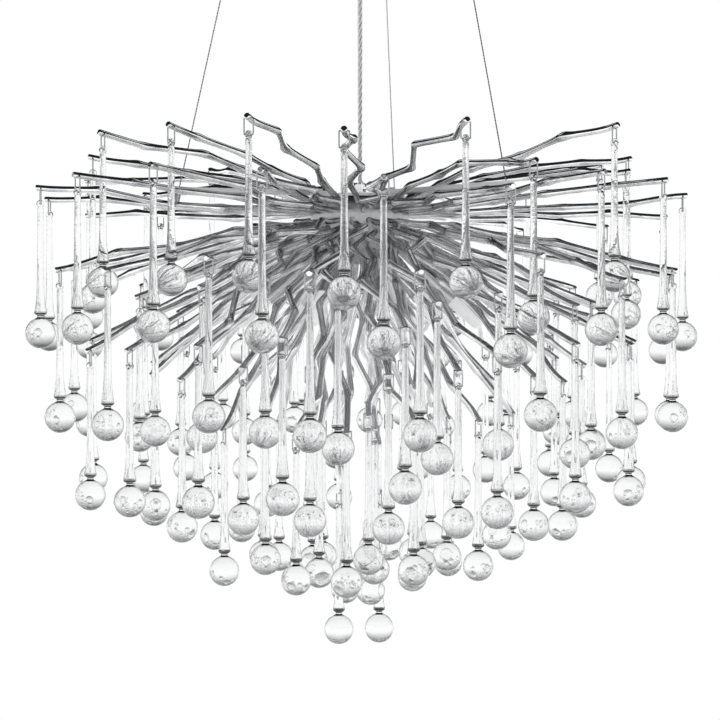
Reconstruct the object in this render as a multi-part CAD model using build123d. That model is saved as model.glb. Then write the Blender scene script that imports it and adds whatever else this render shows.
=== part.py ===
from build123d import *
import math
import os
import random

# A chandelier hung from the ceiling. The origin is the centre of its ceiling bracket,
# +Z is up and -Y is the front. Millimetres and degrees; azimuth 0 is the front and
# grows towards +X, elevation 0 is level.

# Ceiling end
CANOPY_RADIUS = 150
CANOPY_HEIGHT = 30
CANOPY_WALL = 1.5
CANOPY_FLOOR = 2
CANOPY_ROUND = 4
BRACKET_WIDTH = 30
BRACKET_THICKNESS = 3
BRACKET_FLANGE = 18
BOLT_SPACING = 80
BOLT_HOLE_RADIUS = 2.75
MAINS_HOLE_RADIUS = 7
SIDE_SCREW_RADIUS = 2
SIDE_SCREW_HEAD_RADIUS = 4
BLOCK_LENGTH = 34
BLOCK_WIDTH = 18
BLOCK_HEIGHT = 13

# Suspension
HUB_DROP = 305
CABLE_AZIMUTHS = (48, 168, 288)
CABLE_RADIUS = 0.75
CABLE_TOP_PITCH = CANOPY_RADIUS - 20
CABLE_FOOT_PITCH = 188
CABLE_TAIL = 6
ARM_WIDTH = 13
ARM_THICKNESS = 4
ARM_INNER = 27
ARM_SCREW_PITCHES = (33, 43)
ARM_SCREW_RADIUS = 2
ARM_SCREW_HEAD_RADIUS = 3.5
ARM_SCREW_HEAD_HEIGHT = 2.4
ARM_SCREW_DEPTH = 8
STOP_RADIUS = 3
STOP_LENGTH = 9
GRIPPER_BALL_RADIUS = 8
GRIPPER_SEAT_RADIUS = 6.5
GRIPPER_NECK_RADIUS = 4.2
GRIPPER_BODY_RADIUS = 5.2
GRIPPER_LENGTH = 26
PLUNGER_RADIUS = 2.6
PLUNGER_LENGTH = 12
PLUNGER_OUT = 5

# Power cord
CORD_RADIUS = 2.5
CORD_GRIP_DEPTH = 5
GLAND_RADIUS = 4.8
GLAND_HEIGHT = 12
GLAND_NECK_RADIUS = 3.8
GRUB_AZIMUTH = 60
GRUB_RADIUS = 1.5
GRUB_LENGTH = 4
BUSH_FLANGE_RADIUS = 9
BUSH_FLANGE = 3
BUSH_NECK_RADIUS = 5.5
BUSH_NECK = 8

# Hub
HUB_RADIUS = 50
HUB_WALL = 17
HUB_FLAT = 16
PLATE_RADIUS = 47
PLATE_THICKNESS = 3
HUB_BLOCK_SIDE = 20
HUB_BLOCK_HEIGHT = 11

# Twigs: each tier has the elevation of its roots and of its tips, the reach of its tips from
# the hub centre, the sideways sweep and upward arch of its twigs as shares of the reach, and
# its room for play in azimuth, elevation and reach. The crown sets the azimuths of the tiers
# that stand in its gaps, by their share of the gap. The others have a count and a first azimuth.
TWIG_RADIUS = 3.1
TWIG_PLUG = 11
TWIG_STRAIGHT = 14
TWIG_BEND_RADIUS = 18
TWIG_BENDS = (0.13, 0.31, 0.53, 0.77)
TWIG_CROOK = 0.040
CROOK_AT_ROOT = 0.55
CROOK_UPWARD = 0.35
TWIG_END = 17
CROWN_ROOM = (1.3, 4.0, 15)
LEVEL_ROOM = (1.4, 2.4, 11)
CLOSE_ROOM = (1.5, 2.6, 17)
FOOT_ROOM = (1.6, 2.4, 18)
FREE_ROOM = (2.8, 3.8, 22)
CROWN_PER_ARM = 6
ARM_GAP = 22
LEVEL_GAP, SLOPE_GAP, INNER_GAP = 1 / 3, 2 / 3, 0.945
CROWN_TIER = (12, 10.5, 288, 0, 0.035, CROWN_ROOM)
LEVEL_TIER = (2, 2, 330, 0, 0, LEVEL_ROOM)
SLOPE_TIER = (-10, -11, 316, 0.06, 0.01, CLOSE_ROOM)
INNER_TIER = (-18, -20, 248, -0.06, 0.01, CLOSE_ROOM)
UPPER_TIERS = ((18, 7, (-23, -26, 306, -0.06, -0.01, CLOSE_ROOM)),)
LOWER_TIERS = (
    (18, -12, (-35, -36, 272, 0, 0.02, CLOSE_ROOM)),
    (12, -7, (-49, -53, 250, -0.06, -0.02, FREE_ROOM)),
)
FOOT_TIERS = (
    (9, 4, (-60, -65, 238, 0.07, 0, FOOT_ROOM)),
    (7, 12, (-70.5, -75, 228, -0.05, 0, FOOT_ROOM)),
    (2, -60, (-80.5, -84.5, 298, 0.03, 0, CLOSE_ROOM)),
    (2, 30, (-80.5, -83.5, 246, 0.03, 0, CLOSE_ROOM)),
)
SEED = 10124

# Link and drop
LINK_WIRE_RADIUS = 0.7
LINK_HEIGHT = 15
LINK_CORNER = 1.2
LINK_HOLE_RADIUS = 1.2
LINK_HOLE_INSET = 5
EYE_RADIUS = 4
EYE_THICKNESS = 4.6
EYE_ROUND = 1.4
STEM_TOP_RADIUS = 2.9
STEM_FOOT_RADIUS = 3.7
FLARE_RADIUS = 6.2
FLARE_LENGTH = 24
NECK_RADIUS = 3.3
NECK_LENGTH = 5.2
BALL_RADIUS = 15
DROP_LENGTH = 145

# Lamps
LAMP_COUNT = 6
LAMP_FIRST_AZIMUTH = -22
LAMP_ELEVATION = -42
LAMP_STEM_RADIUS = 3.2
LAMP_STEM_BORE = 1.7
LAMP_STEM_LENGTH = 34
SLEEVE_WALL = 0.9
SLEEVE_BACK = 3
SLEEVE_LENGTH = 44
SOCKET_LENGTH = 22
LAMP_RADIUS = 7
LAMP_LENGTH = 60
PIN_RADIUS = 1.1
PIN_LENGTH = 11
PIN_SPACING = 8
LEAD_RADIUS = 1.2
LEAD_BEND_RADIUS = 6

# Clearances
FIT = 0.1
SLIDE = 0.35
PIVOT = 0.05

HUB = Vector(0, 0, -HUB_DROP)
FLOOR_TOP = CANOPY_FLOOR - CANOPY_HEIGHT
PLATE_TOP = HUB.Z + HUB_FLAT + PLATE_THICKNESS
ARM_TOP = PLATE_TOP + ARM_THICKNESS


def heading(azimuth, elevation=0):
    a, e = math.radians(azimuth), math.radians(elevation)
    return Vector(math.sin(a) * math.cos(e), -math.cos(a) * math.cos(e), math.sin(e))


def sideways(azimuth):
    return heading(azimuth + 90)


def facing(origin, z_dir, azimuth):
    return Plane(origin=origin, z_dir=z_dir, x_dir=sideways(azimuth)).location


def rod(radius, start, end):
    """A round rod between two points."""
    way = end - start
    place = Plane(origin=start, z_dir=way).location
    return place * Cylinder(radius, way.length, align=(Align.CENTER, Align.CENTER, Align.MIN))


def turned(outline):
    """A turned piece from (radius, height) points about the Z axis."""
    return revolve(Plane.XZ * make_face(Polyline(*outline, close=True)), Axis.Z)


def tube(radius, points, bend):
    path = FilletPolyline(*points, radius=bend)
    return sweep(Plane(origin=path @ 0, z_dir=path % 0) * Circle(radius), path=path)


def save(name, *shapes):
    solids = [solid for shape in shapes for solid in shape.solids()]
    export_step(solids[0] if len(solids) == 1 else Compound(children=solids), f"parts/{name}.step")


os.makedirs("parts", exist_ok=True)
low, mid, high = Align.MIN, Align.CENTER, Align.MAX

# Canopy: a spun cup that is screwed to the bent-down ends of the ceiling bracket.
cup = turned(
    (
        (0, -CANOPY_HEIGHT),
        (CANOPY_RADIUS, -CANOPY_HEIGHT),
        (CANOPY_RADIUS, 0),
        (CANOPY_RADIUS - CANOPY_WALL, 0),
        (CANOPY_RADIUS - CANOPY_WALL, FLOOR_TOP),
        (0, FLOOR_TOP),
    )
)
cup = fillet(cup.edges().filter_by(GeomType.CIRCLE).group_by(Axis.Z)[0], CANOPY_ROUND)
cup -= rod(BUSH_NECK_RADIUS + FIT, Vector(0, 0, -CANOPY_HEIGHT - 1), Vector(0, 0, FLOOR_TOP + 1))
for azimuth in CABLE_AZIMUTHS:
    seat = heading(azimuth) * CABLE_TOP_PITCH
    cup -= rod(GRIPPER_SEAT_RADIUS, seat + Vector(0, 0, -CANOPY_HEIGHT - 1), seat + Vector(0, 0, FLOOR_TOP + 1))

bracket_half = math.sqrt((CANOPY_RADIUS - CANOPY_WALL - SLIDE) ** 2 - (BRACKET_WIDTH / 2) ** 2)
bracket = Box(2 * bracket_half, BRACKET_WIDTH, BRACKET_FLANGE, align=(mid, mid, high))
bracket -= Pos(0, 0, -BRACKET_THICKNESS) * Box(
    2 * (bracket_half - BRACKET_THICKNESS), BRACKET_WIDTH, BRACKET_FLANGE, align=(mid, mid, high)
)
for x in (-BOLT_SPACING / 2, BOLT_SPACING / 2):
    bracket -= Pos(x, 0, 0) * Cylinder(BOLT_HOLE_RADIUS, 3 * BRACKET_THICKNESS)
bracket -= Pos(BOLT_SPACING, 0, 0) * Cylinder(MAINS_HOLE_RADIUS, 3 * BRACKET_THICKNESS)

screw_height = -(BRACKET_THICKNESS + BRACKET_FLANGE) / 2
side_screws = []
for azimuth in (90, -90):
    out = heading(azimuth)
    tip = out * (bracket_half - 2 * BRACKET_THICKNESS) + Vector(0, 0, screw_height)
    under_head = out * (CANOPY_RADIUS + FIT) + Vector(0, 0, screw_height)
    cup -= rod(SIDE_SCREW_RADIUS + FIT, tip, under_head + out)
    bracket -= rod(SIDE_SCREW_RADIUS + FIT, tip - out, under_head)
    head = rod(SIDE_SCREW_HEAD_RADIUS, under_head, under_head + out * SIDE_SCREW_RADIUS)
    side_screws.append(rod(SIDE_SCREW_RADIUS, tip, under_head) + head)

block = Pos(0, 0, -BRACKET_THICKNESS) * Box(BLOCK_LENGTH, BLOCK_WIDTH, BLOCK_HEIGHT, align=(mid, mid, high))
block_foot = Vector(0, 0, -BRACKET_THICKNESS - BLOCK_HEIGHT)
cord_top = block_foot + Vector(0, 0, CORD_GRIP_DEPTH)
block -= rod(CORD_RADIUS + FIT, block_foot - Vector(0, 0, 1), cord_top + Vector(0, 0, FIT))

bush = turned(
    (
        (CORD_RADIUS + FIT, -CANOPY_HEIGHT - BUSH_FLANGE),
        (BUSH_FLANGE_RADIUS, -CANOPY_HEIGHT - BUSH_FLANGE),
        (BUSH_FLANGE_RADIUS, -CANOPY_HEIGHT),
        (BUSH_NECK_RADIUS, -CANOPY_HEIGHT),
        (BUSH_NECK_RADIUS, -CANOPY_HEIGHT + BUSH_NECK),
        (CORD_RADIUS + FIT, -CANOPY_HEIGHT + BUSH_NECK),
    )
)

save("ceiling_bracket", bracket)
save("canopy_side_screws", *side_screws)
save("mains_terminal_block", block)
save("canopy_cord_bush", bush)

# Suspension: each cable runs straight from the crimped stop under its arm, through the
# gripper's plunger and ball, to a short tail inside the canopy.
ball_height = FLOOR_TOP + math.sqrt(GRIPPER_BALL_RADIUS**2 - GRIPPER_SEAT_RADIUS**2) + PIVOT
arms, stops, grippers = [], [], []
for number, azimuth in enumerate(CABLE_AZIMUTHS, 1):
    out = heading(azimuth)
    ball = out * CABLE_TOP_PITCH + Vector(0, 0, ball_height)
    eyelet = out * CABLE_FOOT_PITCH + Vector(0, 0, PLATE_TOP + ARM_THICKNESS / 2)
    up = (ball - eyelet).normalized()
    cable_top = ball + up * (GRIPPER_BALL_RADIUS + CABLE_TAIL)
    stop_top = eyelet - up * (ARM_THICKNESS / 2 + STOP_RADIUS * math.tan(math.acos(up.Z)) + FIT)
    cable_foot = stop_top - up * (STOP_LENGTH + CABLE_TAIL)
    bore = rod(CABLE_RADIUS + FIT, cable_foot, cable_top)

    arm = Pos(0, 0, PLATE_TOP) * Rot(0, 0, azimuth - 90) * Pos(ARM_INNER, 0, 0) * Box(
        CABLE_FOOT_PITCH + ARM_WIDTH / 2 - ARM_INNER, ARM_WIDTH, ARM_THICKNESS, align=(low, mid, low)
    )
    arm -= bore
    for pitch in ARM_SCREW_PITCHES:
        arm -= Pos(out * pitch + Vector(0, 0, PLATE_TOP)) * Cylinder(ARM_SCREW_RADIUS + FIT, 4 * ARM_THICKNESS)
    arms.append(fillet(arm.edges().filter_by(Axis.Z).sort_by(lambda e: -(e.center() - HUB).length)[:2], ARM_WIDTH / 3))
    stops.append(rod(STOP_RADIUS, stop_top - up * STOP_LENGTH, stop_top) - bore)

    foot = ball - up * GRIPPER_LENGTH
    shoulder = ball - up * (GRIPPER_BALL_RADIUS + CANOPY_FLOOR)
    plunger_top = foot + up * (PLUNGER_LENGTH - PLUNGER_OUT)
    gripper = Pos(ball) * Sphere(GRIPPER_BALL_RADIUS) + rod(GRIPPER_NECK_RADIUS, foot, ball)
    gripper += rod(GRIPPER_BODY_RADIUS, foot, shoulder)
    gripper -= rod(PLUNGER_RADIUS + FIT, foot - up, plunger_top + up * PLUNGER_OUT)
    grippers.append(gripper - bore)
    save(f"gripper_plunger_{number}", rod(PLUNGER_RADIUS, foot - up * PLUNGER_OUT, plunger_top) - bore)
    save(f"suspension_cable_{number}", rod(CABLE_RADIUS, cable_foot, cable_top))

save("canopy_cup", cup)
save("suspension_arms", *arms)
save("cable_end_stops", *stops)
save("cable_grippers", *grippers)

# Hub: a thick hollow ball, cut flat under its plate, that all twigs and lamp stems plug into.
plate_foot = HUB + Vector(0, 0, HUB_FLAT)
plate = Pos(plate_foot) * Cylinder(PLATE_RADIUS, PLATE_THICKNESS, align=(mid, mid, low))
plate -= Pos(plate_foot) * Cylinder(GLAND_NECK_RADIUS + FIT, 3 * PLATE_THICKNESS)
gland = turned(
    (
        (CORD_RADIUS + FIT, plate_foot.Z),
        (GLAND_NECK_RADIUS, plate_foot.Z),
        (GLAND_NECK_RADIUS, PLATE_TOP),
        (GLAND_RADIUS, PLATE_TOP),
        (GLAND_RADIUS, PLATE_TOP + GLAND_HEIGHT),
        (CORD_RADIUS + FIT, PLATE_TOP + GLAND_HEIGHT),
    )
)
grub_height = Vector(0, 0, PLATE_TOP + GLAND_HEIGHT / 2)
grub_tip = heading(GRUB_AZIMUTH) * (CORD_RADIUS + 2 * FIT) + grub_height
grub_head = grub_tip + heading(GRUB_AZIMUTH) * GRUB_LENGTH
gland -= rod(GRUB_RADIUS + FIT, grub_height, grub_head)
hub_block = Pos(plate_foot) * Box(HUB_BLOCK_SIDE, HUB_BLOCK_SIDE, HUB_BLOCK_HEIGHT, align=(mid, mid, high))
cord_foot = plate_foot - Vector(0, 0, CORD_GRIP_DEPTH)
hub_block -= rod(CORD_RADIUS + FIT, cord_foot - Vector(0, 0, FIT), plate_foot)

hub_screws = []
hub_cuts = [Pos(plate_foot) * Cylinder(2 * HUB_RADIUS, HUB_RADIUS, align=(mid, mid, low))]
for azimuth in CABLE_AZIMUTHS:
    for pitch in ARM_SCREW_PITCHES:
        under_head = heading(azimuth) * pitch + Vector(0, 0, ARM_TOP)
        tip = heading(azimuth) * pitch + plate_foot - Vector(0, 0, ARM_SCREW_DEPTH)
        top = under_head + Vector(0, 0, ARM_SCREW_HEAD_HEIGHT)
        hub_screws.append(rod(ARM_SCREW_RADIUS, tip, under_head) + rod(ARM_SCREW_HEAD_RADIUS, under_head, top))
        hole = rod(ARM_SCREW_RADIUS + FIT, tip - Vector(0, 0, FIT), under_head)
        hub_cuts.append(hole)
        plate -= hole

save("hub_plate", plate)
save("hub_screws", *hub_screws)
save("hub_cord_gland", gland)
save("gland_grub_screw", rod(GRUB_RADIUS, grub_tip, grub_head))
save("hub_terminal_block", hub_block)
save("power_cord", rod(CORD_RADIUS, cord_foot, cord_top))

# Lamps: a stem and sleeve, a ceramic socket in the sleeve, a push-in capsule and its lead,
# each made along +Z from the hub centre.
sleeve_bore = LAMP_RADIUS + SLIDE
stem_root = HUB_RADIUS - HUB_WALL + FIT
sleeve_root = HUB_RADIUS + LAMP_STEM_LENGTH
socket_root = sleeve_root + SLEEVE_BACK
lamp_root = socket_root + SOCKET_LENGTH + FIT
lamp_end = lamp_root + LAMP_LENGTH
lamp_tube = turned(
    (
        (LAMP_STEM_BORE, stem_root),
        (LAMP_STEM_RADIUS, stem_root),
        (LAMP_STEM_RADIUS, sleeve_root),
        (sleeve_bore + SLEEVE_WALL, sleeve_root),
        (sleeve_bore + SLEEVE_WALL, sleeve_root + SLEEVE_LENGTH),
        (sleeve_bore, sleeve_root + SLEEVE_LENGTH),
        (sleeve_bore, socket_root),
        (LAMP_STEM_BORE, socket_root),
    )
)
socket = Pos(0, 0, socket_root) * Cylinder(sleeve_bore - FIT, SOCKET_LENGTH, align=(mid, mid, low))
lead_end = socket_root + CORD_GRIP_DEPTH
socket -= rod(LEAD_RADIUS + FIT, Vector(0, 0, socket_root - 1), Vector(0, 0, lead_end + FIT))
lamp = Pos(0, 0, lamp_root) * Cylinder(LAMP_RADIUS, LAMP_LENGTH - LAMP_RADIUS, align=(mid, mid, low))
lamp += Pos(0, 0, lamp_end - LAMP_RADIUS) * Sphere(LAMP_RADIUS)
for x in (-PIN_SPACING / 2, PIN_SPACING / 2):
    pin_tip = Vector(x, 0, lamp_root - PIN_LENGTH)
    lamp += rod(PIN_RADIUS, pin_tip, Vector(x, 0, lamp_root + 1))
    socket -= rod(PIN_RADIUS + SLIDE, pin_tip - Vector(0, 0, 1), Vector(x, 0, lamp_root))

lamp_tubes, sockets, leads = [], [], []
for number in range(1, LAMP_COUNT + 1):
    azimuth = LAMP_FIRST_AZIMUTH + (number - 1) * 360 / LAMP_COUNT
    out = heading(azimuth, LAMP_ELEVATION)
    place = facing(HUB, out, azimuth)
    lamp_tubes.append(place * lamp_tube)
    sockets.append(place * socket)
    save(f"lamp_{number}", place * lamp)
    lead_start = heading(azimuth) * (HUB_BLOCK_SIDE / 3) + plate_foot - Vector(0, 0, HUB_BLOCK_HEIGHT)
    turn = HUB + out * (HUB_BLOCK_SIDE / 3 / math.cos(math.radians(LAMP_ELEVATION)))
    leads.append(tube(LEAD_RADIUS, (lead_start, turn, HUB + out * lead_end), LEAD_BEND_RADIUS))
    hub_cuts.append(rod(LAMP_STEM_RADIUS + FIT, HUB + out * (stem_root / 2), HUB + out * (HUB_RADIUS + 1)))

save("lamp_tubes", *lamp_tubes)
save("lamp_sockets", *sockets)
save("lamp_leads", *leads)

# Link and drop: made once about the eye's centre, with the link's lower leg on the X axis.
link_half = max(TWIG_RADIUS, EYE_THICKNESS / 2) + LINK_CORNER + 2 * FIT
link_path = (Plane.XZ * Pos(0, LINK_HEIGHT / 2) * RectangleRounded(2 * link_half, LINK_HEIGHT, LINK_CORNER)).wire()
link = sweep(Plane(origin=link_path @ 0, z_dir=link_path % 0) * Circle(LINK_WIRE_RADIUS), path=link_path)

ball_centre = EYE_RADIUS - DROP_LENGTH + BALL_RADIUS
neck_foot = ball_centre + math.sqrt(BALL_RADIUS**2 - NECK_RADIUS**2)
neck_top = neck_foot + NECK_LENGTH
stem = turned(
    (
        (0, neck_foot - NECK_LENGTH),
        (NECK_RADIUS, neck_foot - NECK_LENGTH),
        (NECK_RADIUS, neck_foot),
        (FLARE_RADIUS, neck_top),
        (STEM_FOOT_RADIUS, neck_top + FLARE_LENGTH),
        (STEM_TOP_RADIUS, -EYE_RADIUS / 2),
        (0, -EYE_RADIUS / 2),
    )
)
eye = Rot(0, 90, 0) * Cylinder(EYE_RADIUS, EYE_THICKNESS)
eye = fillet(eye.edges().filter_by(GeomType.CIRCLE), EYE_ROUND)
drop = eye + stem + Pos(0, 0, ball_centre) * Sphere(BALL_RADIUS)
drop -= Rot(0, 90, 0) * Cylinder(LINK_WIRE_RADIUS + PIVOT, 2 * EYE_RADIUS)

# Twigs: the crown leaves a wider gap for each cable arm, and the level and first-slope
# twigs stand in the crown's gaps, clear of the drops that hang there.
play = random.Random(SEED)
crown_step = (360 / len(CABLE_AZIMUTHS) - ARM_GAP) / (CROWN_PER_ARM - 1)
crown = [a + ARM_GAP / 2 + i * crown_step for a in CABLE_AZIMUTHS for i in range(CROWN_PER_ARM)]
crown_gaps = [(b - a) % 360 for a, b in zip(crown, crown[1:] + crown[:1])]


def around(count, first):
    return [first + i * 360 / count for i in range(count)]


def in_gaps(share):
    return [a + gap * share for a, gap in zip(crown, crown_gaps)]


def twig(azimuth, root, tip, reach, sweep, arch, room):
    """A crooked twig that droops from its root to its tip, and the place of its drop's eye."""
    axis = heading(azimuth, root)
    azimuth += play.uniform(-room[0], room[0])
    tip += play.uniform(-room[1], room[1])
    reach += play.uniform(-room[2], room[2])
    out, side = heading(azimuth, tip), sideways(azimuth)
    turn = play.choice((-1, 1))
    start = HUB_RADIUS + TWIG_STRAIGHT
    points = [HUB + axis * (HUB_RADIUS - TWIG_PLUG), HUB + axis * start]
    for share in TWIG_BENDS:
        far = start + share * (reach - start)
        part = far / reach
        crook = TWIG_CROOK * reach * (CROOK_AT_ROOT + (1 - CROOK_AT_ROOT) * part)
        bulge = math.sin(math.pi * part) * reach
        aside = turn * crook * play.uniform(0.5, 1) + sweep * bulge
        above = CROOK_UPWARD * crook * play.uniform(-1, 1) + arch * bulge
        slope = root + (tip - root) * part
        on_line = HUB + heading(azimuth, slope) * far
        points.append(on_line + side * aside + heading(azimuth, slope + 90) * above)
        turn = -turn
    points += [HUB + out * (reach - TWIG_END), HUB + out * reach]
    hole = HUB + out * (reach - LINK_HOLE_INSET)
    body = tube(TWIG_RADIUS, points, TWIG_BEND_RADIUS)
    body -= rod(LINK_HOLE_RADIUS, hole - side * 2 * TWIG_RADIUS, hole + side * 2 * TWIG_RADIUS)
    hub_cuts.append(rod(TWIG_RADIUS + FIT, points[0] - axis * FIT, HUB + axis * (HUB_RADIUS + 1)))
    eye_centre = hole - Vector(0, 0, LINK_HEIGHT + LINK_HOLE_RADIUS - LINK_WIRE_RADIUS - PIVOT)
    return body, Location(eye_centre, (0, 0, azimuth))


def tier(azimuths, form):
    return [twig(azimuth, *form) for azimuth in azimuths]


def tiers(rows):
    return [one for count, first, form in rows for one in tier(around(count, first), form)]


groups = {
    "crown": tier(crown, CROWN_TIER),
    "level": tier(in_gaps(LEVEL_GAP), LEVEL_TIER),
    "upper": tier(in_gaps(SLOPE_GAP), SLOPE_TIER) + tier(in_gaps(INNER_GAP), INNER_TIER) + tiers(UPPER_TIERS),
    "lower": tiers(LOWER_TIERS),
    "foot": tiers(FOOT_TIERS),
}
links = []
for name, members in groups.items():
    save(f"{name}_twigs", *[body for body, _ in members])
    links += [place * link for _, place in members]
    hung = [place * drop for _, place in members]
    if name == "level":
        for number, one in enumerate(hung, 1):
            save(f"{name}_drop_{number}", one)
    else:
        save(f"{name}_drops", *hung)
save("drop_links", *links)

hub = Pos(HUB) * Sphere(HUB_RADIUS) - Pos(HUB) * Sphere(HUB_RADIUS - HUB_WALL)
save("hub_body", hub - hub_cuts)
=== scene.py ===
import math
import random

import bpy
from mathutils import Matrix, Vector


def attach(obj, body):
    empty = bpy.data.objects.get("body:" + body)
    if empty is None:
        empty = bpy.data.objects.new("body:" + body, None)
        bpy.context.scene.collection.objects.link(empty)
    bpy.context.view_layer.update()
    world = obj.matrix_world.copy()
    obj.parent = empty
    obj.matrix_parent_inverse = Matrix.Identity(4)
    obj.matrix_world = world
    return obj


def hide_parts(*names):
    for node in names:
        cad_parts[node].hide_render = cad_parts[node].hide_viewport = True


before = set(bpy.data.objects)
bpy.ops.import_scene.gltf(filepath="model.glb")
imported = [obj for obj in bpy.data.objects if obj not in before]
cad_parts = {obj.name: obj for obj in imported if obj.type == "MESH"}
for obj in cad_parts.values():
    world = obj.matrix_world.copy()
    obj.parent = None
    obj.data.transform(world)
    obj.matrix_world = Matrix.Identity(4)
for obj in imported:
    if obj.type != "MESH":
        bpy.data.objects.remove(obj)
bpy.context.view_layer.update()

bpy.ops.object.select_all(action="DESELECT")

# Ceiling bracket and its screws: pressed steel strip, zinc plated in a barrel, so it is
# cloudy and slightly scratched. It is bolted to the ceiling, and the cup is screwed to its ends.
CLOUD_DETAIL, GRAIN_DETAIL = 3, 2
CLOUD_DARK_AT, CLOUD_LIGHT_AT = 0.35, 0.65
CLOUD_GLOSSY_AT, CLOUD_DULL_AT = 0.3, 0.7
polish = bpy.data.node_groups.new("polish_marks", "ShaderNodeTree")
for name in ("Cloud Scale", "Grain Scale"):
    polish.interface.new_socket(name, in_out="INPUT", socket_type="NodeSocketFloat")
for name in ("Cloud", "Grain"):
    polish.interface.new_socket(name, in_out="OUTPUT", socket_type="NodeSocketFloat")
place = polish.nodes.new("ShaderNodeTexCoord")
values = polish.nodes.new("NodeGroupInput")
marks = polish.nodes.new("NodeGroupOutput")
for name, detail in (("Cloud", CLOUD_DETAIL), ("Grain", GRAIN_DETAIL)):
    noise = polish.nodes.new("ShaderNodeTexNoise")
    noise.inputs["Detail"].default_value = detail
    polish.links.new(place.outputs["Object"], noise.inputs["Vector"])
    polish.links.new(values.outputs[f"{name} Scale"], noise.inputs["Scale"])
    polish.links.new(noise.outputs["Fac"], marks.inputs[name])


def grade(ramp, start, start_tone, end, end_tone):
    """Set a colour ramp to run from one tone to another."""
    first, last = ramp.color_ramp.elements
    first.position = start
    first.color = (*start_tone, 1)
    last.position = end
    last.color = (*end_tone, 1)


def map_values(node, low, high, to_low, to_high):
    """Set a Map Range node to carry one span of values to another."""
    node.inputs["From Min"].default_value = low
    node.inputs["From Max"].default_value = high
    node.inputs["To Min"].default_value = to_low
    node.inputs["To Max"].default_value = to_high


def finish(name, light, dark, gloss, cloud, grain, relief, **constants):
    """A surface between two tones, with roughness from gloss[0] to gloss[1] and relief in metres."""
    material = bpy.data.materials.new(name)
    material.use_nodes = True
    nodes, links = material.node_tree.nodes, material.node_tree.links
    shader = nodes["Principled BSDF"]
    for socket, value in constants.items():
        shader.inputs[socket.replace("_", " ")].default_value = value
    wear = nodes.new("ShaderNodeGroup")
    wear.node_tree = polish
    wear.inputs["Cloud Scale"].default_value = cloud
    wear.inputs["Grain Scale"].default_value = grain
    tone = nodes.new("ShaderNodeValToRGB")
    grade(tone, CLOUD_DARK_AT, dark, CLOUD_LIGHT_AT, light)
    dulling = nodes.new("ShaderNodeMapRange")
    map_values(dulling, CLOUD_GLOSSY_AT, CLOUD_DULL_AT, *gloss)
    bump = nodes.new("ShaderNodeBump")
    bump.inputs["Strength"].default_value = 1
    bump.inputs["Distance"].default_value = relief
    links.new(wear.outputs["Cloud"], tone.inputs["Fac"])
    links.new(tone.outputs["Color"], shader.inputs["Base Color"])
    links.new(wear.outputs["Cloud"], dulling.inputs["Value"])
    links.new(dulling.outputs["Result"], shader.inputs["Roughness"])
    links.new(wear.outputs["Grain"], bump.inputs["Height"])
    links.new(bump.outputs["Normal"], shader.inputs["Normal"])
    return material


def dress(material, *names):
    """Give a material to pieces that keep the shape of their solids."""
    for name in names:
        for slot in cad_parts[name].material_slots:
            slot.material = material


zinc = finish(
    "zinc_plate", light=(0.66, 0.67, 0.68), dark=(0.52, 0.54, 0.56), gloss=(0.25, 0.45),
    cloud=90, grain=900, relief=0.00003, Metallic=0.6,
)
dress(zinc, "ceiling_bracket", "canopy_side_screws", "hub_screws", "gland_grub_screw", "cable_end_stops")

# Terminal blocks: moulded polyamide, slightly glossy, one under the bracket for the mains
# and one under the hub plate for the lamp leads.
polyamide = finish(
    "block_polyamide", light=(0.88, 0.88, 0.86), dark=(0.82, 0.82, 0.79), gloss=(0.35, 0.5),
    cloud=60, grain=700, relief=0.00004,
)
dress(polyamide, "mains_terminal_block", "hub_terminal_block")

# Canopy, hub plate and suspension arms: spun and cut sheet with a satin nickel plating. The cup
# covers the bracket, and the plate and the arms are screwed to the top of the hub.
nickel = finish(
    "satin_nickel", light=(0.80, 0.80, 0.80), dark=(0.70, 0.70, 0.71), gloss=(0.28, 0.42),
    cloud=25, grain=500, relief=0.00003, Metallic=0.5,
)
dress(nickel, "canopy_cup", "hub_plate", "suspension_arms")

# Cable grippers and their plungers: turned parts with the canopy's plating. They hang in the
# cup's floor, and each plunger frees its cable when it is pressed.
dress(nickel, "cable_grippers", "gripper_plunger_1", "gripper_plunger_2", "gripper_plunger_3")

# Cord gland: a turned part, polished and chrome plated, that stands on the hub plate.
# The grub screw in its side clamps the power cord.
chrome = finish(
    "polished_chrome", light=(0.80, 0.80, 0.81), dark=(0.74, 0.75, 0.76), gloss=(0.05, 0.13),
    cloud=25, grain=260, relief=0.00002, Metallic=1,
)
dress(chrome, "hub_cord_gland")

# Hub: a cast ball with a drilled socket for each twig, plated but not polished, because the
# twigs hide it. The plate and the arms are screwed to its top.
cast = finish(
    "hub_casting", light=(0.46, 0.46, 0.47), dark=(0.30, 0.30, 0.31), gloss=(0.22, 0.4),
    cloud=60, grain=420, relief=0.00012, Metallic=1,
)
dress(cast, "hub_body")

# Cord bush: a clear moulded collar that the power cord passes through in the cup's floor.
# The cord's jacket is of the same clear plastic.
clear_plastic = finish(
    "clear_plastic", light=(0.95, 0.96, 0.96), dark=(0.91, 0.92, 0.92), gloss=(0.03, 0.09),
    cloud=120, grain=300, relief=0.00003, Transmission_Weight=1, IOR=1.46,
)
dress(clear_plastic, "canopy_cord_bush")

# Suspension cables: six steel strands laid round a core, taut from the crimped stop under
# each arm up through the gripper. The strands are lobes of one twisted bar.
CABLE_AZIMUTHS = (48, 168, 288)
CABLE_RADIUS = 0.00075
STRANDS = 6
STRAND_LAY = 0.012
STRAND_HOLLOW = 0.93
STRAND_CUTS = 150
STRAND_CREASE = math.radians(60)
GRIPPER_PITCH, GRIPPER_HEIGHT = 0.130, -0.02328
ARM_PITCH, ARM_HEIGHT = 0.188, -0.284
CABLE_TOP_TAIL, CABLE_FOOT_TAIL = 0.014, 0.0178


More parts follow.
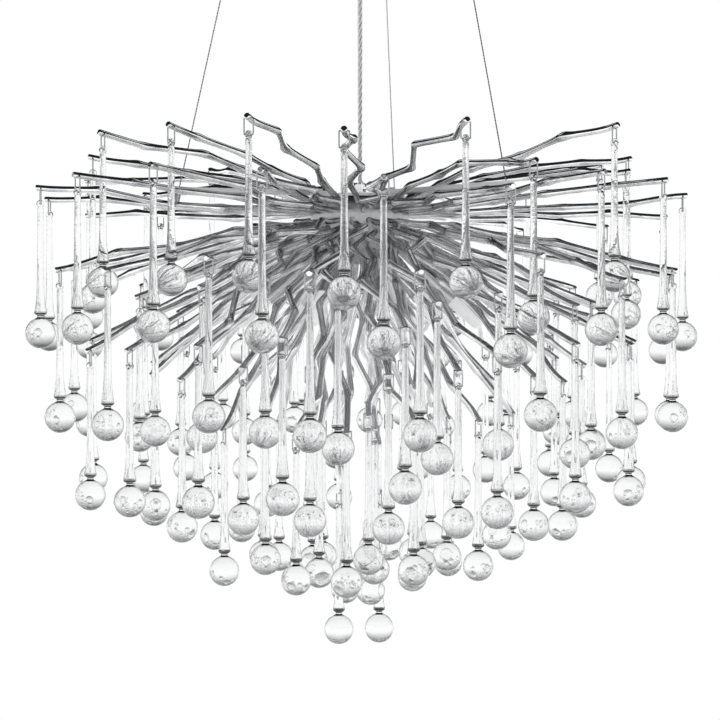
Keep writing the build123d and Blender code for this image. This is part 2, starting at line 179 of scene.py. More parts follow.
def heading(azimuth, elevation=0):
    """The direction at an azimuth from the front and an elevation, in degrees."""
    a, e = math.radians(azimuth), math.radians(elevation)
    return Vector((math.sin(a) * math.cos(e), -math.cos(a) * math.cos(e), math.sin(e)))


def pick_only(*pieces):
    """Select only these pieces and make the first one active."""
    bpy.ops.object.select_all(action="DESELECT")
    for piece in pieces:
        piece.select_set(True)
    bpy.context.view_layer.objects.active = pieces[0]


def apply_modifiers(piece):
    """Make the piece active and turn its modifiers into mesh."""
    bpy.context.view_layer.objects.active = piece
    for modifier in list(piece.modifiers):
        bpy.ops.object.modifier_apply(modifier=modifier.name)


def select_in_edit(piece, mode, wanted):
    """Edit mode with only the wanted verts, edges or faces of the piece selected."""
    bpy.ops.object.mode_set(mode="OBJECT")
    pick_only(piece)
    bpy.ops.object.mode_set(mode="EDIT")
    bpy.ops.mesh.select_mode(type=mode)
    bpy.ops.mesh.select_all(action="DESELECT")
    bpy.ops.object.mode_set(mode="OBJECT")
    mesh = piece.data
    for part in {"VERT": mesh.vertices, "EDGE": mesh.edges, "FACE": mesh.polygons}[mode]:
        part.select = wanted(part)
    bpy.ops.object.mode_set(mode="EDIT")


def twist_up(piece, length, turns, cuts):
    """Cut the long edges of an upright piece and twist it about Z by a number of turns."""
    ends = piece.data.vertices

    def is_long(edge):
        first, last = edge.vertices
        return abs(ends[first].co.z - ends[last].co.z) > length / 2

    select_in_edit(piece, "EDGE", is_long)
    bpy.ops.mesh.subdivide(number_cuts=cuts)
    bpy.ops.object.mode_set(mode="OBJECT")
    twist = piece.modifiers.new("lay", "SIMPLE_DEFORM")
    twist.deform_method = "TWIST"
    twist.deform_axis = "Z"
    twist.angle = 2 * math.pi * turns
    apply_modifiers(piece)


def stranded_bar(name, strands, radius, length, lay):
    """A bar along Z from 0, with a lobe for each strand, twisted to its lay."""
    corners = 2 * strands
    bpy.ops.object.select_all(action="DESELECT")
    bpy.ops.mesh.primitive_cylinder_add(
        vertices=corners, radius=radius, depth=length, location=(0, 0, length / 2),
    )
    bar = bpy.context.object
    bar.name = name
    bpy.ops.object.transform_apply(location=True)
    corner_angle = 2 * math.pi / corners
    select_in_edit(bar, "VERT", lambda v: round(math.atan2(v.co.y, v.co.x) / corner_angle) % 2 == 1)
    bpy.ops.transform.resize(value=(STRAND_HOLLOW, STRAND_HOLLOW, 1), center_override=(0, 0, length / 2))
    twist_up(bar, length, length / lay, STRAND_CUTS)
    bpy.ops.object.shade_smooth_by_angle(angle=STRAND_CREASE)
    return bar


steel = finish(
    "cable_steel", light=(0.50, 0.50, 0.51), dark=(0.38, 0.39, 0.40), gloss=(0.25, 0.4),
    cloud=400, grain=3000, relief=0.00001, Metallic=1,
)
for number, azimuth in enumerate(CABLE_AZIMUTHS, 1):
    gripper = heading(azimuth) * GRIPPER_PITCH + Vector((0, 0, GRIPPER_HEIGHT))
    eyelet = heading(azimuth) * ARM_PITCH + Vector((0, 0, ARM_HEIGHT))
    up = (gripper - eyelet).normalized()
    foot, top = eyelet - up * CABLE_FOOT_TAIL, gripper + up * CABLE_TOP_TAIL
    length = (top - foot).length
    cable = stranded_bar(f"cable_{number}_strands", STRANDS, CABLE_RADIUS, length, STRAND_LAY)
    lean = Vector((0, 0, 1)).rotation_difference(up).to_matrix().to_4x4()
    cable.data.transform(Matrix.Translation(foot) @ lean)
    cable.data.materials.append(steel)
    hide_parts(f"suspension_cable_{number}")
    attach(cable, "fitting")

# Power cord: three tinned cores twisted together in a clear jacket, pulled straight between
# the block in the canopy and the gland on the hub.
CORD_RADIUS = 0.0025
CORD_FOOT, CORD_TOP = -0.294, -0.011
CORD_LENGTH = CORD_TOP - CORD_FOOT
CORD_STEPS = 3
JACKET_ROUNDNESS = 6
CORES, CORE_SIDES, CORE_CUTS = 3, 8, 200
CORE_RADIUS, CORE_PITCH, CORE_LAY = 0.0006, 0.0009, 0.022
CORE_SET_BACK = 0.002
tinned = finish(
    "tinned_copper", light=(0.90, 0.90, 0.89), dark=(0.74, 0.74, 0.73), gloss=(0.25, 0.45),
    cloud=500, grain=2600, relief=0.00001, Metallic=1,
)
jacket_line = bpy.data.curves.new("power_cord_jacket", "CURVE")
jacket_line.dimensions = "3D"
jacket_line.bevel_depth = CORD_RADIUS
jacket_line.bevel_resolution = JACKET_ROUNDNESS
jacket_line.use_fill_caps = True
run = jacket_line.splines.new("NURBS")
run.points.add(CORD_STEPS)
for step, point in enumerate(run.points):
    point.co = (0, 0, CORD_FOOT + CORD_LENGTH * step / CORD_STEPS, 1)
run.order_u = 3
run.use_endpoint_u = True
jacket = bpy.data.objects.new("power_cord_jacket", jacket_line)
bpy.context.scene.collection.objects.link(jacket)
jacket.data.materials.append(clear_plastic)
bpy.ops.object.select_all(action="DESELECT")
core_length = CORD_LENGTH - CORE_SET_BACK
straight_cores = []
for number in range(CORES):
    bpy.ops.mesh.primitive_cylinder_add(
        vertices=CORE_SIDES, radius=CORE_RADIUS, depth=core_length, end_fill_type="NGON",
        location=heading(number * 360 / CORES) * CORE_PITCH,
    )
    straight_cores.append(bpy.context.object)
for core in straight_cores:
    core.select_set(True)
bpy.ops.object.join()
cores = bpy.context.object
cores.name = "power_cord_cores"
bpy.ops.object.transform_apply(location=True)
twist_up(cores, core_length, CORD_LENGTH / CORE_LAY, CORE_CUTS)
cores.data.transform(Matrix.Translation((0, 0, (CORD_TOP + CORD_FOOT) / 2)))
bpy.ops.object.shade_smooth_by_angle(angle=STRAND_CREASE)
cores.data.materials.append(tinned)
for piece in (jacket, cores):
    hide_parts("power_cord")
    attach(piece, "fitting")

# Twigs: bent rods with swollen knots where they crook, cut square at the tip, ground and chrome
# plated to a mirror that still follows the dents of the bending. Each is plugged into the hub.
HUB = Vector((0, 0, -0.305))
HUB_RADIUS = 0.050
TWIG_SEED = 10124
TWIG_RADIUS, TWIG_ROUNDNESS, TWIG_STEPS = 0.0031, 3, 4
TWIG_CREASE = math.radians(50)
TWIG_PLUG, TWIG_STRAIGHT, TWIG_END = 0.011, 0.014, 0.017
TWIG_BENDS = (0.13, 0.31, 0.53, 0.77)
TWIG_CROOK, CROOK_AT_ROOT, CROOK_UPWARD = 0.040, 0.55, 0.35
LEAST_CROOK = 0.5
CROWN_PER_ARM, ARM_GAP = 6, 22
LINK_HOLE_INSET, EYE_DROP = 0.005, 0.01545

# Room that a tier leaves its twigs to stray: azimuth and tip angle in degrees, reach in metres.
CROWN_ROOM = (1.3, 4.0, 0.015)
LEVEL_ROOM = (1.4, 2.4, 0.011)
CLOSE_ROOM = (1.5, 2.6, 0.017)
FOOT_ROOM = (1.6, 2.4, 0.018)
FREE_ROOM = (2.8, 3.8, 0.022)

# Forms of the tiers: angle at the root, angle at the tip, reach, sweep aside, arch and room.
CROWN_FORM = (12, 10.5, 0.288, 0, 0.035, CROWN_ROOM)
LEVEL_FORM = (2, 2, 0.330, 0, 0, LEVEL_ROOM)
SLOPE_FORM = (-10, -11, 0.316, 0.06, 0.01, CLOSE_ROOM)
INNER_FORM = (-18, -20, 0.248, -0.06, 0.01, CLOSE_ROOM)
EAVES_FORM = (-23, -26, 0.306, -0.06, -0.01, CLOSE_ROOM)
WAIST_FORM = (-35, -36, 0.272, 0, 0.02, CLOSE_ROOM)
SKIRT_FORM = (-49, -53, 0.250, -0.06, -0.02, FREE_ROOM)
FOOT_FORM = (-60, -65, 0.238, 0.07, 0, FOOT_ROOM)
HEART_FORM = (-70.5, -75, 0.228, -0.05, 0, FOOT_ROOM)
LOWEST_FORM = (-80.5, -84.5, 0.298, 0.03, 0, CLOSE_ROOM)
AXIS_FORM = (-80.5, -83.5, 0.246, 0.03, 0, CLOSE_ROOM)
LEVEL_SHARE, SLOPE_SHARE, INNER_SHARE = 1 / 3, 2 / 3, 0.945

KNOT_SEED = 5
KNOT_LENGTH = 0.009
KNOT_LEAST, KNOT_MOST, KNOT_NECK = 1.2, 1.7, 0.97
TIP_SHARES, TIP_SHRINK = (0.85, 0.97), 0.7

play = random.Random(TWIG_SEED)
crown_step = (360 / len(CABLE_AZIMUTHS) - ARM_GAP) / (CROWN_PER_ARM - 1)
crown = [a + ARM_GAP / 2 + i * crown_step for a in CABLE_AZIMUTHS for i in range(CROWN_PER_ARM)]
crown_gaps = [(b - a) % 360 for a, b in zip(crown, crown[1:] + crown[:1])]


def twig(azimuth, root, tip, reach, sweep, arch, room):
    """The route of a twig, with the place and heading of the drop at its tip."""
    axis = heading(azimuth, root)
    azimuth += play.uniform(-room[0], room[0])
    tip += play.uniform(-room[1], room[1])
    reach += play.uniform(-room[2], room[2])
    out, side = heading(azimuth, tip), heading(azimuth + 90)
    turn = play.choice((-1, 1))
    start = HUB_RADIUS + TWIG_STRAIGHT
    route = [HUB + axis * (HUB_RADIUS - TWIG_PLUG), HUB + axis * start]
    for share in TWIG_BENDS:
        far = start + share * (reach - start)
        part = far / reach
        crook = TWIG_CROOK * reach * (CROOK_AT_ROOT + (1 - CROOK_AT_ROOT) * part)
        bulge = math.sin(math.pi * part) * reach
        aside = turn * crook * play.uniform(LEAST_CROOK, 1) + sweep * bulge
        above = CROOK_UPWARD * crook * play.uniform(-1, 1) + arch * bulge
        slope = root + (tip - root) * part
        on_line = HUB + heading(azimuth, slope) * far
        route.append(on_line + side * aside + heading(azimuth, slope + 90) * above)
        turn = -turn
    route += [HUB + out * (reach - TWIG_END), HUB + out * reach]
    return route, HUB + out * (reach - LINK_HOLE_INSET) - Vector((0, 0, EYE_DROP)), azimuth


def in_gaps(share, form):
    """One twig in each gap of the crown, at a share of the gap."""
    return [twig(a + gap * share, *form) for a, gap in zip(crown, crown_gaps)]


def around(count, first, form):
    """Twigs evenly round the hub from the first azimuth."""
    return [twig(first + i * 360 / count, *form) for i in range(count)]


tiers = {}
tiers["crown"] = [twig(azimuth, *CROWN_FORM) for azimuth in crown]
tiers["level"] = in_gaps(LEVEL_SHARE, LEVEL_FORM)
tiers["upper"] = in_gaps(SLOPE_SHARE, SLOPE_FORM)
tiers["upper"] += in_gaps(INNER_SHARE, INNER_FORM)
tiers["upper"] += around(18, 7, EAVES_FORM)
tiers["lower"] = around(18, -12, WAIST_FORM)
tiers["lower"] += around(12, -7, SKIRT_FORM)
tiers["foot"] = around(9, 4, FOOT_FORM)
tiers["foot"] += around(7, 12, HEART_FORM)
tiers["foot"] += around(2, -60, LOWEST_FORM)
tiers["foot"] += around(2, 30, AXIS_FORM)
twig_chrome = finish(
    "twig_chrome", light=(0.90, 0.90, 0.91), dark=(0.56, 0.57, 0.58), gloss=(0.02, 0.07),
    cloud=45, grain=70, relief=0.0003, Metallic=1,
)
chance = random.Random(KNOT_SEED)
for tier, members in tiers.items():
    rods = bpy.data.curves.new(f"{tier}_twig_rods", "CURVE")
    rods.dimensions = "3D"
    rods.bevel_depth = TWIG_RADIUS
    rods.bevel_resolution = TWIG_ROUNDNESS
    rods.resolution_u = TWIG_STEPS
    rods.use_fill_caps = True
    for route, _, _ in members:
        stations = [(route[0], 1), (route[1], 1)]
        for before, bend, after in zip(route[1:], route[2:-2], route[3:]):
            stations.append((bend + (before - bend).normalized() * KNOT_LENGTH, KNOT_NECK))
            stations.append((bend, chance.uniform(KNOT_LEAST, KNOT_MOST)))
            stations.append((bend + (after - bend).normalized() * KNOT_LENGTH, KNOT_NECK))
        stations.append((route[-2], 1))
        stations += [(route[-2].lerp(route[-1], share), 1) for share in TIP_SHARES]
        stations.append((route[-1], TIP_SHRINK))
        rod = rods.splines.new("NURBS")
        rod.points.add(len(stations) - 1)
        for point, (where, swelling) in zip(rod.points, stations):
            point.co = (*where, 1)
            point.radius = swelling
        rod.order_u = 3
        rod.use_endpoint_u = True
    twigs = bpy.data.objects.new(f"{tier}_twig_rods", rods)
    bpy.context.scene.collection.objects.link(twigs)
    pick_only(twigs)
    bpy.ops.object.convert(target="MESH")
    twigs = bpy.context.object
    bpy.ops.object.shade_smooth_by_angle(angle=TWIG_CREASE)
    twigs.data.materials.clear()
    twigs.data.materials.append(twig_chrome)
    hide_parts(f"{tier}_twigs")
    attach(twigs, "fitting")

# Links: bright steel wire bent into a long ring. Each passes through the twig's drilled tip
# and the drop's eye.
wire = finish(
    "link_wire", light=(0.46, 0.47, 0.48), dark=(0.34, 0.35, 0.36), gloss=(0.12, 0.25),
    cloud=300, grain=1500, relief=0.00001, Metallic=1,
)
dress(wire, "drop_links")

# Lamp tubes, sockets and leads: satin metal tubes that stand in the hub, with a ceramic push-in
# socket in each and white leads from the block in the hub.
satin = finish(
    "satin_tube", light=(0.68, 0.68, 0.69), dark=(0.54, 0.54, 0.55), gloss=(0.22, 0.34),
    cloud=30, grain=500, relief=0.00004, Metallic=1,
)
ceramic = finish(
    "socket_ceramic", light=(0.90, 0.89, 0.86), dark=(0.84, 0.83, 0.79), gloss=(0.4, 0.6),
    cloud=80, grain=600, relief=0.00006,
)
silicone = finish(
    "lead_silicone", light=(0.86, 0.86, 0.85), dark=(0.80, 0.80, 0.79), gloss=(0.4, 0.55),
    cloud=150, grain=900, relief=0.00003,
)
dress(satin, "lamp_tubes")
dress(ceramic, "lamp_sockets")
dress(silicone, "lamp_leads")

# Lamps: frosted capsules with a domed end, a small seal tip, a waist above the base and two
# pins that push into the socket. Each slides out of its tube.
LAMPS = 6
LAMP_AZIMUTH, LAMP_ELEVATION = -22, -42
LAMP_RADIUS, LAMP_ROOT, LAMP_END = 0.007, 0.1091, 0.1691
LAMP_SEGMENTS, LAMP_RINGS = 24, 12
LAMP_CREASE = math.radians(40)
DOME_HEIGHT = 0.0075
SEAL_DEPTH, SEAL_HEIGHT = 0.0009, 0.0008
WAIST_RADIUS, BASE_RADIUS = 0.0066, 0.0062
WAIST_TOP, WAIST_UPPER, WAIST_LOWER, WAIST_FOOT, BASE_EDGE = 0.020, 0.018, 0.014, 0.012, 0.001
PIN_RADIUS, PIN_LENGTH, PIN_SPACING = 0.0011, 0.011, 0.008
PIN_ROOT, PIN_ROUNDING, PIN_SIDES = 0.001, 0.0006, 12
HAIR = 1e-5


def draw_out(radius, height, profile):
    """Draw the selected rim through the radii and heights of a profile, and close its end."""
    for next_radius, next_height in profile:
        narrowing = next_radius / radius
        bpy.ops.mesh.extrude_region_move(TRANSFORM_OT_translate={"value": (0, 0, next_height - height)})
        bpy.ops.transform.resize(value=(narrowing, narrowing, 1), center_override=(0, 0, next_height))
        radius, height = next_radius, next_height
    bpy.ops.mesh.edge_face_add()


# The frosted finish has a painted glow: the lamps are off, and the faint white emission stands in for
# light falling on the capsules among the twigs.
frosted_with_painted_glow = finish(
    "frosted_capsule_painted_glow", light=(0.95, 0.95, 0.94), dark=(0.90, 0.90, 0.89), gloss=(0.2, 0.35),
    cloud=70, grain=1200, relief=0.00003,
    Coat_Weight=0.4, Emission_Color=(1, 1, 1, 1), Emission_Strength=0.3,
)
equator = LAMP_END - DOME_HEIGHT
bpy.ops.object.select_all(action="DESELECT")
bpy.ops.mesh.primitive_uv_sphere_add(
    segments=LAMP_SEGMENTS, ring_count=LAMP_RINGS, radius=LAMP_RADIUS, location=(0, 0, equator),
)
capsule = bpy.context.object
bpy.ops.object.transform_apply(location=True)
select_in_edit(capsule, "VERT", lambda v: v.co.z < equator - HAIR)
bpy.ops.mesh.delete(type="VERT")
select_in_edit(capsule, "VERT", lambda v: v.co.z < equator + HAIR)
draw_out(LAMP_RADIUS, equator, (
    (LAMP_RADIUS, LAMP_ROOT + WAIST_TOP),
    (WAIST_RADIUS, LAMP_ROOT + WAIST_UPPER),
    (WAIST_RADIUS, LAMP_ROOT + WAIST_LOWER),
    (LAMP_RADIUS, LAMP_ROOT + WAIST_FOOT),
    (LAMP_RADIUS, LAMP_ROOT + BASE_EDGE),
    (BASE_RADIUS, LAMP_ROOT),
))
select_in_edit(capsule, "FACE", lambda f: f.center.z > LAMP_END - SEAL_DEPTH)
bpy.ops.mesh.extrude_region_shrink_fatten(TRANSFORM_OT_shrink_fatten={"value": SEAL_HEIGHT})
bpy.ops.mesh.select_all(action="SELECT")
bpy.ops.mesh.normals_make_consistent(inside=False)
bpy.ops.object.mode_set(mode="OBJECT")
capsule.data.materials.append(frosted_with_painted_glow)
pins = []
for side in (-1, 1):
    bpy.ops.object.select_all(action="DESELECT")
    bpy.ops.mesh.primitive_cylinder_add(
        vertices=PIN_SIDES, radius=PIN_RADIUS, depth=PIN_LENGTH + PIN_ROOT,
        location=(side * PIN_SPACING / 2, 0, LAMP_ROOT - PIN_LENGTH / 2 + PIN_ROOT / 2),
    )
    pin = bpy.context.object
    pin.data.materials.append(tinned)
    round_end = pin.modifiers.new("round_end", "BEVEL")
    round_end.width = PIN_ROUNDING
    round_end.segments = 2
    apply_modifiers(pin)
    pins.append(pin)
pick_only(capsule, *pins)
bpy.ops.object.join()
bpy.ops.object.shade_smooth_by_angle(angle=LAMP_CREASE)
for number in range(1, LAMPS + 1):
    azimuth = LAMP_AZIMUTH + (number - 1) * 360 / LAMPS
    out, side = heading(azimuth, LAMP_ELEVATION), heading(azimuth + 90)
    lamp = bpy.data.objects.new(f"lamp_{number}_capsule", capsule.data.copy())
    bpy.context.scene.collection.objects.link(lamp)
    turned = Matrix((side, out.cross(side), out)).transposed().to_4x4()
    lamp.data.transform(Matrix.Translation(HUB) @ turned)
    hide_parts(f"lamp_{number}")
    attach(lamp, f"lamp_{number}")
bpy.data.objects.remove(capsule)

# Drops: solid glass drawn by hand from a gather: a ball, a nipped neck, a flared foot, a slim
# stem and an eye that was pinched flat and pierced for the link. The glass is clear and rippled. Its
# colour holds painted shade: it is darker at its rims and has a near-black ring painted where the flare
# turns the light away.
EYE_RING, EYE_WIRE, EYE_WIDTH = 0.0025, 0.0015, 0.0046
EYE_SEGMENTS, EYE_SIDES = 20, 10
BALL_RADIUS, BALL_DROP = 0.015, 0.126
BALL_SEGMENTS, BALL_RINGS = 24, 16
NECK_ON_BALL = 0.0045
STEM = (
    (0.0033, -0.1108), (0.0031, -0.1099), (0.0034, -0.1088), (0.0052, -0.1078), (0.0062, -0.1064),
    (0.0060, -0.1050), (0.0050, -0.100), (0.0042, -0.093), (0.0036, -0.082), (0.0033, -0.060),
    (0.0031, -0.035), (0.0029, -0.012), (0.0031, -0.005), (0.0022, -0.002),
)
# Painted shade: a near-black ring in the glass's colour between these heights, where the flare turns the
# light away.
FOOT_SHADE_BOTTOM, FOOT_SHADE_TOP = -0.1080, -0.1060
DROP_CREASE = math.radians(55)
WELD_GAP = 1e-6
GLASS_INDEX = 1.5
# Painted shade: the glass's colour runs from clear to dark as its surface turns edge-on to the view,
# standing in for the dark surroundings that the rims bend into view.
RIM_BLEND, RIM_CLEAR_AT, RIM_PAINTED_SHADE_AT = 0.35, 0.34, 0.84
RIM_CLEAR, RIM_PAINTED_SHADE, FOOT_PAINTED_SHADE = (0.985, 0.99, 0.99), (0.08, 0.085, 0.09), (0.002, 0.002, 0.002)
RIPPLE_SCALE, RIPPLE_DETAIL, RIPPLE_DEPTH = 330, 2, 0.0003
glass = bpy.data.materials.new("drop_glass")
glass.use_nodes = True
nodes, links = glass.node_tree.nodes, glass.node_tree.links
shader = nodes["Principled BSDF"]
shader.inputs["Transmission Weight"].default_value = 1
shader.inputs["Roughness"].default_value = 0
shader.inputs["IOR"].default_value = GLASS_INDEX
# Layer Weight's facing drives the painted rim shade in the glass's colour.
edge = nodes.new("ShaderNodeLayerWeight")
edge.inputs["Blend"].default_value = RIM_BLEND
rim = nodes.new("ShaderNodeValToRGB")
grade(rim, RIM_CLEAR_AT, RIM_CLEAR, RIM_PAINTED_SHADE_AT, RIM_PAINTED_SHADE)
# The "foot" attribute carries the painted shade ring at the flare's foot into the glass's colour.
foot = nodes.new("ShaderNodeAttribute")
foot.attribute_name = "foot"
shade = nodes.new("ShaderNodeMixRGB")
shade.inputs["Color2"].default_value = (*FOOT_PAINTED_SHADE, 1)
place = nodes.new("ShaderNodeTexCoord")
swirl = nodes.new("ShaderNodeTexNoise")
swirl.inputs["Scale"].default_value = RIPPLE_SCALE
swirl.inputs["Detail"].default_value = RIPPLE_DETAIL
ripple = nodes.new("ShaderNodeBump")
ripple.inputs["Strength"].default_value = 1
ripple.inputs["Distance"].default_value = RIPPLE_DEPTH
links.new(edge.outputs["Facing"], rim.inputs["Fac"])
links.new(foot.outputs["Fac"], shade.inputs["Fac"])
links.new(rim.outputs["Color"], shade.inputs["Color1"])
links.new(shade.outputs["Color"], shader.inputs["Base Color"])
links.new(place.outputs["Object"], swirl.inputs["Vector"])
links.new(swirl.outputs["Fac"], ripple.inputs["Height"])
links.new(ripple.outputs["Normal"], shader.inputs["Normal"])

bpy.ops.object.select_all(action="DESELECT")
bpy.ops.mesh.primitive_uv_sphere_add(
    segments=BALL_SEGMENTS, ring_count=BALL_RINGS, radius=BALL_RADIUS, location=(0, 0, -BALL_DROP),
)
pattern = bpy.context.object
pattern.name = "drop_pattern"
bpy.ops.object.transform_apply(location=True)
shoulder = math.sqrt(BALL_RADIUS**2 - NECK_ON_BALL**2) - BALL_DROP
select_in_edit(pattern, "VERT", lambda v: v.co.z > shoulder)
bpy.ops.mesh.delete(type="VERT")
bpy.ops.mesh.select_all(action="DESELECT")
bpy.ops.object.mode_set(mode="OBJECT")
brim = max(v.co.z for v in pattern.data.vertices)
select_in_edit(pattern, "VERT", lambda v: v.co.z > brim - WELD_GAP)
brim_radius = max(v.co.xy.length for v in pattern.data.vertices if v.co.z > brim - WELD_GAP)
draw_out(brim_radius, brim, STEM)
bpy.ops.object.mode_set(mode="OBJECT")
bpy.ops.mesh.primitive_torus_add(
    major_radius=EYE_RING, minor_radius=EYE_WIRE, major_segments=EYE_SEGMENTS, minor_segments=EYE_SIDES,
    rotation=(0, math.pi / 2, 0),
)
eye = bpy.context.object
eye.scale.z = EYE_WIDTH / (2 * EYE_WIRE)
bpy.ops.object.transform_apply(rotation=True, scale=True)
weld = pattern.modifiers.new("weld", "BOOLEAN")
weld.operation = "UNION"
weld.solver = "EXACT"
weld.object = eye
apply_modifiers(pattern)
bpy.data.objects.remove(eye)
select_in_edit(pattern, "VERT", lambda v: True)
bpy.ops.mesh.remove_doubles(threshold=WELD_GAP)
bpy.ops.mesh.normals_make_consistent(inside=False)
bpy.ops.object.mode_set(mode="OBJECT")
bpy.ops.object.shade_smooth_by_angle(angle=DROP_CREASE)
pattern.data.materials.append(glass)
# Painted shade: the ring of vertices at the flare's foot is marked for the near-black colour.
painted_foot_shade = pattern.data.attributes.new("foot", "FLOAT", "POINT")
for vertex, painted_shade in zip(pattern.data.vertices, painted_foot_shade.data):
    painted_shade.value = 1 if FOOT_SHADE_BOTTOM < vertex.co.z < FOOT_SHADE_TOP else 0


def hang(name, eye, azimuth):
    """A copy of the drop at its eye, turned with its twig."""
    drop = bpy.data.objects.new(name, pattern.data.copy())
    bpy.context.scene.collection.objects.link(drop)
    drop.data.transform(Matrix.Translation(eye) @ Matrix.Rotation(math.radians(azimuth), 4, "Z"))
    return drop


for tier, members in tiers.items():
    drops = []
    for number, (_, eye, azimuth) in enumerate(members, 1):
        drops.append(hang(f"{tier}_drop_{number}_glass", eye, azimuth))
    if tier == "level":
        for number, drop in enumerate(drops, 1):
            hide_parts(f"level_drop_{number}")
            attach(drop, f"level_drop_{number}")
        continue
    pick_only(*drops)
    bpy.ops.object.join()
    drops[0].name = f"{tier}_drops_glass"
    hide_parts(f"{tier}_drops")
    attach(drops[0], "fitting")
bpy.data.objects.remove(pattern)

# Studio: a white sweep all round and a dark ceiling that draws the upper edge of each rod. The
# camera is level, in front, at the photograph's distance. Two soft boxes hang above.
CAMERA_PLACE, CAMERA_LENS, CAMERA_SENSOR = (0, -2.0, -0.4525), 98.3, 36
ALL_BOUNCES, GLASS_BOUNCES, MIRROR_BOUNCES = 32, 28, 3

# Mirrors see the sky, glass and dull paint see the softer veil, and the camera sees white paper.
# A place on a ramp is 0 straight down, 0.5 at the horizon and 1 straight up.
SKY_LIGHT, SKY_DARK, SKY_LIGHT_TO, SKY_DARK_FROM = (1.4, 1.4, 1.4), (0.02, 0.02, 0.02), 0.535, 0.60
VEIL_LIGHT, VEIL_DARK, VEIL_LIGHT_TO, VEIL_DARK_FROM = (1, 1, 1), (0.08, 0.08, 0.085), 0.54, 0.84
SOFT_BOXES = (("soft_box", (-0.9, -0.7, 1.5), 0.8, 14), ("back_box", (0.8, 1.2, 1.3), 0.5, 6))
scene = bpy.context.scene
camera = bpy.data.objects.new("camera", bpy.data.cameras.new("camera"))
scene.collection.objects.link(camera)
camera.location = CAMERA_PLACE
camera.rotation_euler = (math.pi / 2, 0, 0)
camera.data.lens = CAMERA_LENS
camera.data.sensor_width = CAMERA_SENSOR
scene.camera = camera
scene.view_settings.view_transform = "Standard"
scene.cycles.max_bounces = ALL_BOUNCES
scene.cycles.transmission_bounces = GLASS_BOUNCES
scene.cycles.glossy_bounces = MIRROR_BOUNCES

world = bpy.data.worlds.new("studio")
scene.world = world
world.use_nodes = True
nodes, links = world.node_tree.nodes, world.node_tree.links
nodes.clear()
direction = nodes.new("ShaderNodeTexCoord")
split = nodes.new("ShaderNodeSeparateXYZ")
climb = nodes.new("ShaderNodeMapRange")
map_values(climb, -1, 1, 0, 1)
sky = nodes.new("ShaderNodeValToRGB")
grade(sky, SKY_LIGHT_TO, SKY_LIGHT, SKY_DARK_FROM, SKY_DARK)
veil = nodes.new("ShaderNodeValToRGB")
grade(veil, VEIL_LIGHT_TO, VEIL_LIGHT, VEIL_DARK_FROM, VEIL_DARK)
soft = nodes.new("ShaderNodeMath")
soft.operation = "MAXIMUM"
through = nodes.new("ShaderNodeMixRGB")
studio = nodes.new("ShaderNodeBackground")
paper = nodes.new("ShaderNodeBackground")
paper.inputs["Color"].default_value = (1, 1, 1, 1)
path = nodes.new("ShaderNodeLightPath")
choice = nodes.new("ShaderNodeMixShader")
output = nodes.new("ShaderNodeOutputWorld")
links.new(direction.outputs["Generated"], split.inputs["Vector"])
links.new(split.outputs["Z"], climb.inputs["Value"])
links.new(climb.outputs["Result"], sky.inputs["Fac"])
links.new(climb.outputs["Result"], veil.inputs["Fac"])
links.new(path.outputs["Is Transmission Ray"], soft.inputs[0])
links.new(path.outputs["Is Diffuse Ray"], soft.inputs[1])
links.new(soft.outputs[0], through.inputs["Fac"])
links.new(sky.outputs["Color"], through.inputs["Color1"])
links.new(veil.outputs["Color"], through.inputs["Color2"])
links.new(through.outputs["Color"], studio.inputs["Color"])
links.new(path.outputs["Is Camera Ray"], choice.inputs["Fac"])
links.new(studio.outputs["Background"], choice.inputs[1])
links.new(paper.outputs["Background"], choice.inputs[2])
links.new(choice.outputs["Shader"], output.inputs["Surface"])

for name, where, size, power in SOFT_BOXES:
    box = bpy.data.objects.new(name, bpy.data.lights.new(name, "AREA"))
    scene.collection.objects.link(box)
    box.data.shape = "SQUARE"
    box.data.size = size
    box.data.energy = power
    box.visible_glossy = False
    box.visible_transmission = False
    box.location = where
    box.rotation_euler = (HUB - Vector(where)).to_track_quat("-Z", "Y").to_euler()

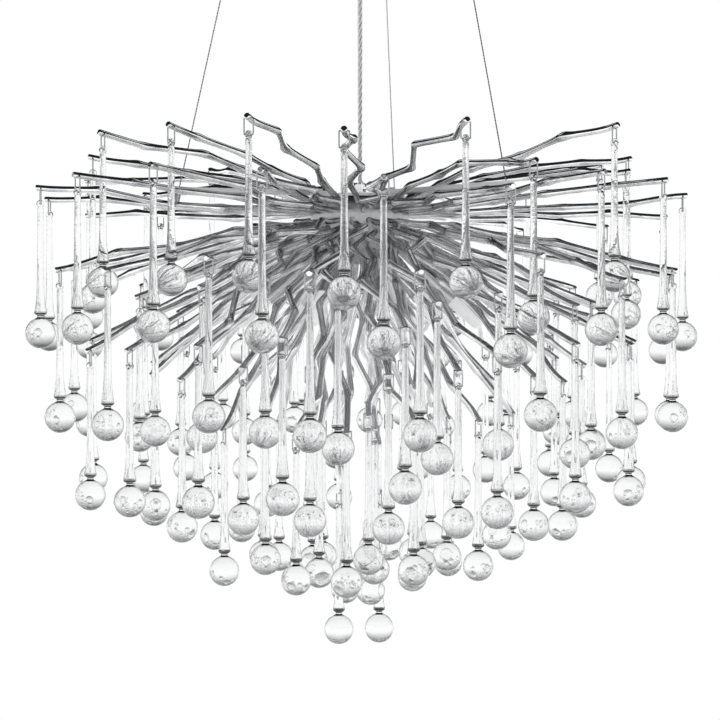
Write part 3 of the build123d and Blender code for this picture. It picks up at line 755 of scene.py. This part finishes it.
# Floor: a round sheet of white paper well below, which fades into the white round it. From
# below it is clear, so that the drops can be seen.
FLOOR_RADIUS, FLOOR_HEIGHT, FLOOR_SIDES = 2.3, -1.45, 96
FADE_FROM, FADE_TO, FADE_LEAST = 0.5, 2.1, 0.75
bpy.ops.object.select_all(action="DESELECT")
bpy.ops.mesh.primitive_circle_add(
    vertices=FLOOR_SIDES, radius=FLOOR_RADIUS, fill_type="NGON", location=(0, 0, FLOOR_HEIGHT),
)
floor = bpy.context.object
floor.name = "floor"
floor_paper = finish(
    "floor_paper", light=(0.93, 0.93, 0.93), dark=(0.91, 0.91, 0.91), gloss=(0.8, 0.9),
    cloud=3, grain=400, relief=0.0001,
)
nodes, links = floor_paper.node_tree.nodes, floor_paper.node_tree.links
path = nodes.new("ShaderNodeLightPath")
seen = nodes.new("ShaderNodeMath")
seen.operation = "MAXIMUM"
seen_through = nodes.new("ShaderNodeMath")
seen_through.operation = "MAXIMUM"
share = nodes.new("ShaderNodeMath")
share.operation = "MULTIPLY"
white = nodes.new("ShaderNodeEmission")
blend = nodes.new("ShaderNodeMixShader")
spot = nodes.new("ShaderNodeTexCoord")
away = nodes.new("ShaderNodeVectorMath")
away.operation = "LENGTH"
fade = nodes.new("ShaderNodeMapRange")
map_values(fade, FADE_FROM, FADE_TO, FADE_LEAST, 1)
below = nodes.new("ShaderNodeNewGeometry")
clear = nodes.new("ShaderNodeBsdfTransparent")
one_way = nodes.new("ShaderNodeMixShader")
links.new(spot.outputs["Object"], away.inputs[0])
links.new(away.outputs["Value"], fade.inputs["Value"])
links.new(fade.outputs["Result"], share.inputs[1])
links.new(path.outputs["Is Camera Ray"], seen.inputs[0])
links.new(path.outputs["Is Glossy Ray"], seen.inputs[1])
links.new(seen.outputs[0], seen_through.inputs[0])
links.new(path.outputs["Is Transmission Ray"], seen_through.inputs[1])
links.new(seen_through.outputs[0], share.inputs[0])
links.new(share.outputs[0], blend.inputs["Fac"])
links.new(nodes["Principled BSDF"].outputs["BSDF"], blend.inputs[1])
links.new(white.outputs["Emission"], blend.inputs[2])
links.new(below.outputs["Backfacing"], one_way.inputs["Fac"])
links.new(blend.outputs["Shader"], one_way.inputs[1])
links.new(clear.outputs["BSDF"], one_way.inputs[2])
links.new(one_way.outputs["Shader"], nodes["Material Output"].inputs["Surface"])
floor.data.materials.append(floor_paper)
